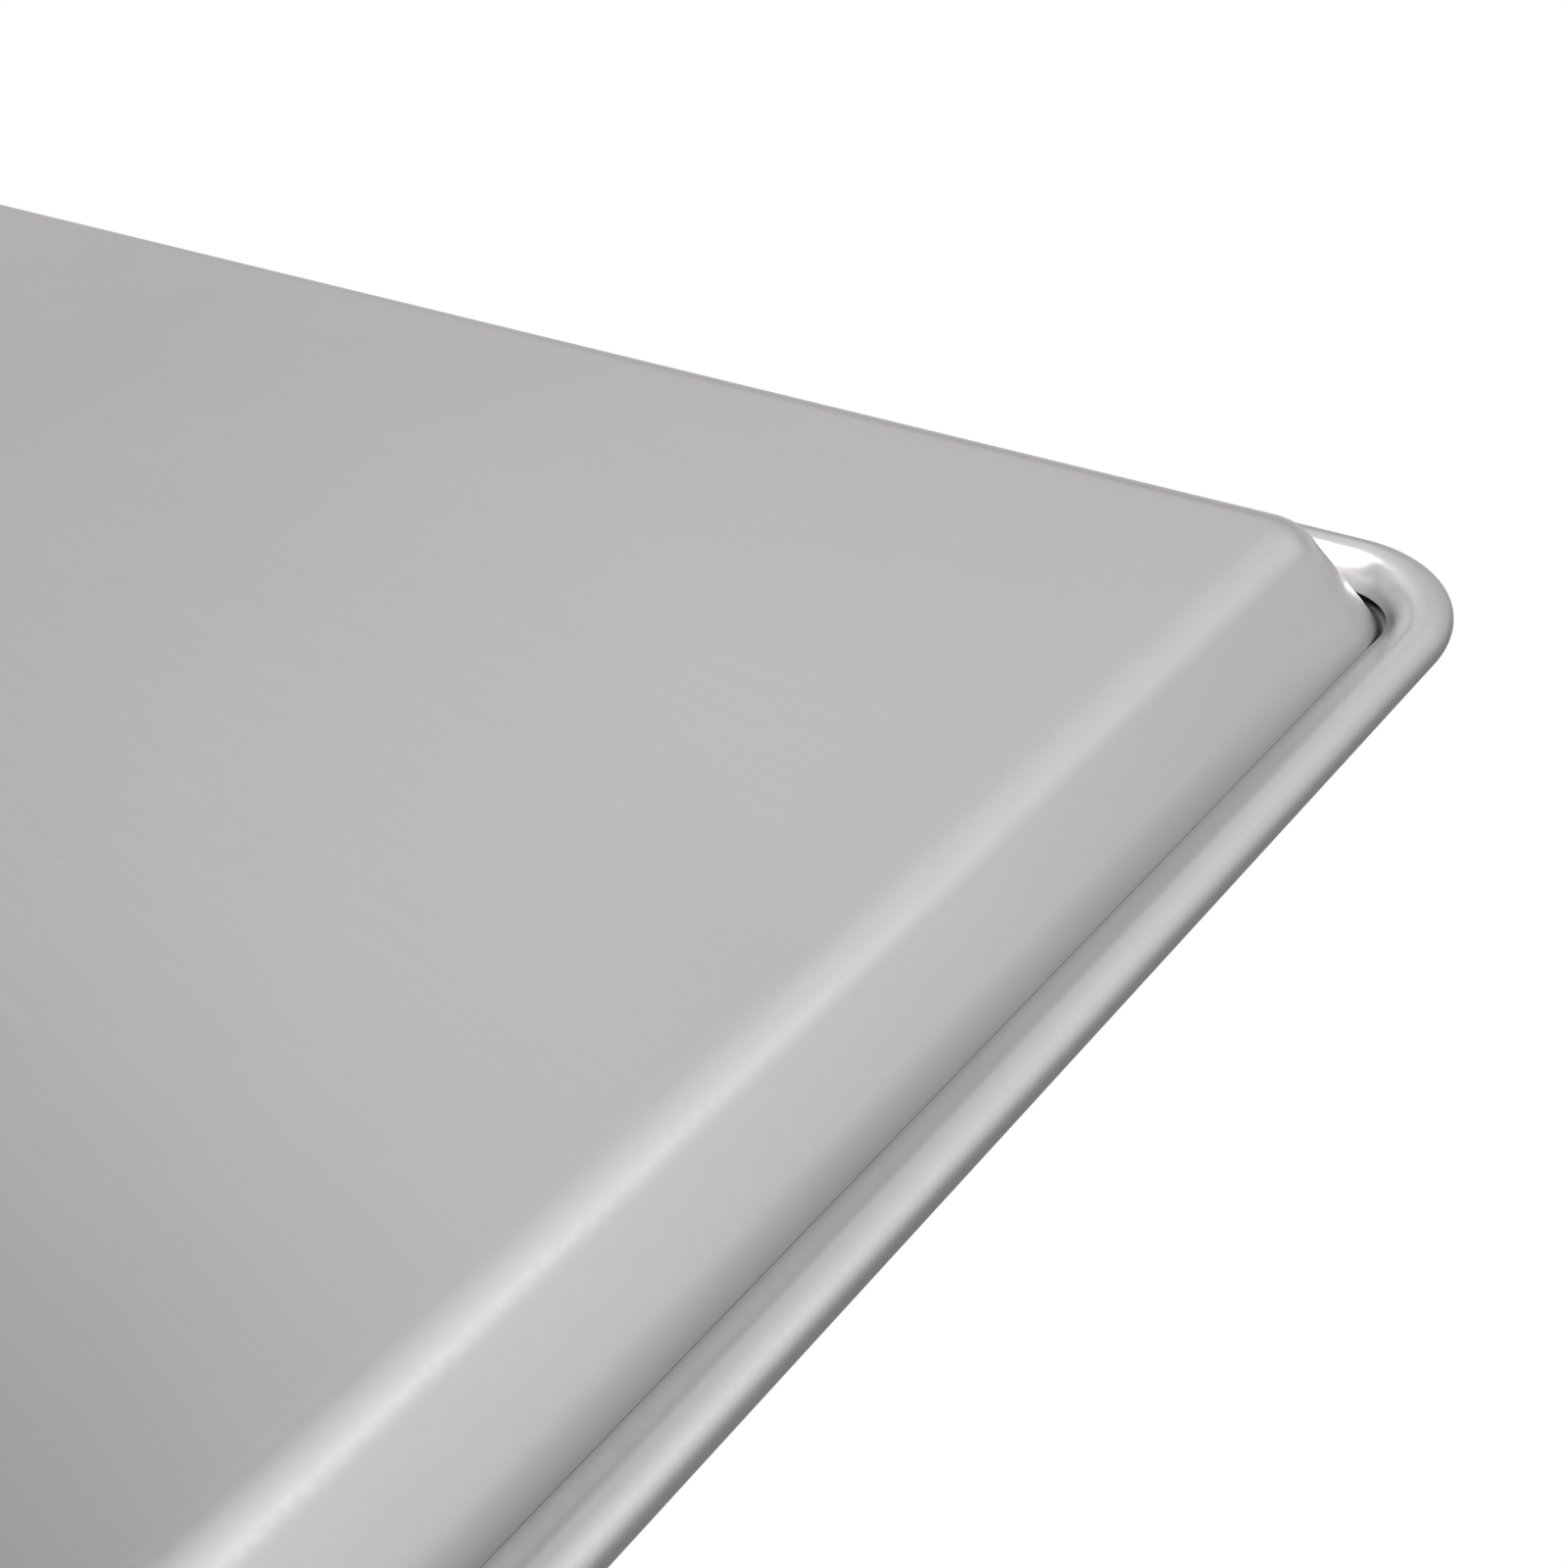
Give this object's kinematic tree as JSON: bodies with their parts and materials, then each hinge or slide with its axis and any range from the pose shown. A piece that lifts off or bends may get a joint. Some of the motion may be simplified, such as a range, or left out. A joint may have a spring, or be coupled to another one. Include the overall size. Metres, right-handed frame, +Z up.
{
  "type": "sheet pan",
  "caption": "Full-size shallow rectangular baking pan with flared walls, rounded corners and a rim rolled around a reinforcing wire.",
  "frame": {"origin": "centre of the flat underside, on the surface that the pan stands on", "axes": "+X along the long side, +Y along the short side, +Z up out of the open top"},
  "size_m": [0.657, 0.454, 0.0254],
  "materials": {
    "pan_aluminium": "satin mill finish",
    "wire_steel": "galvanised"
  },
  "bodies": {
    "root": {"pan_sheet": "pan_aluminium", "rim_wire": "wire_steel"}
  },
  "joints": []
}
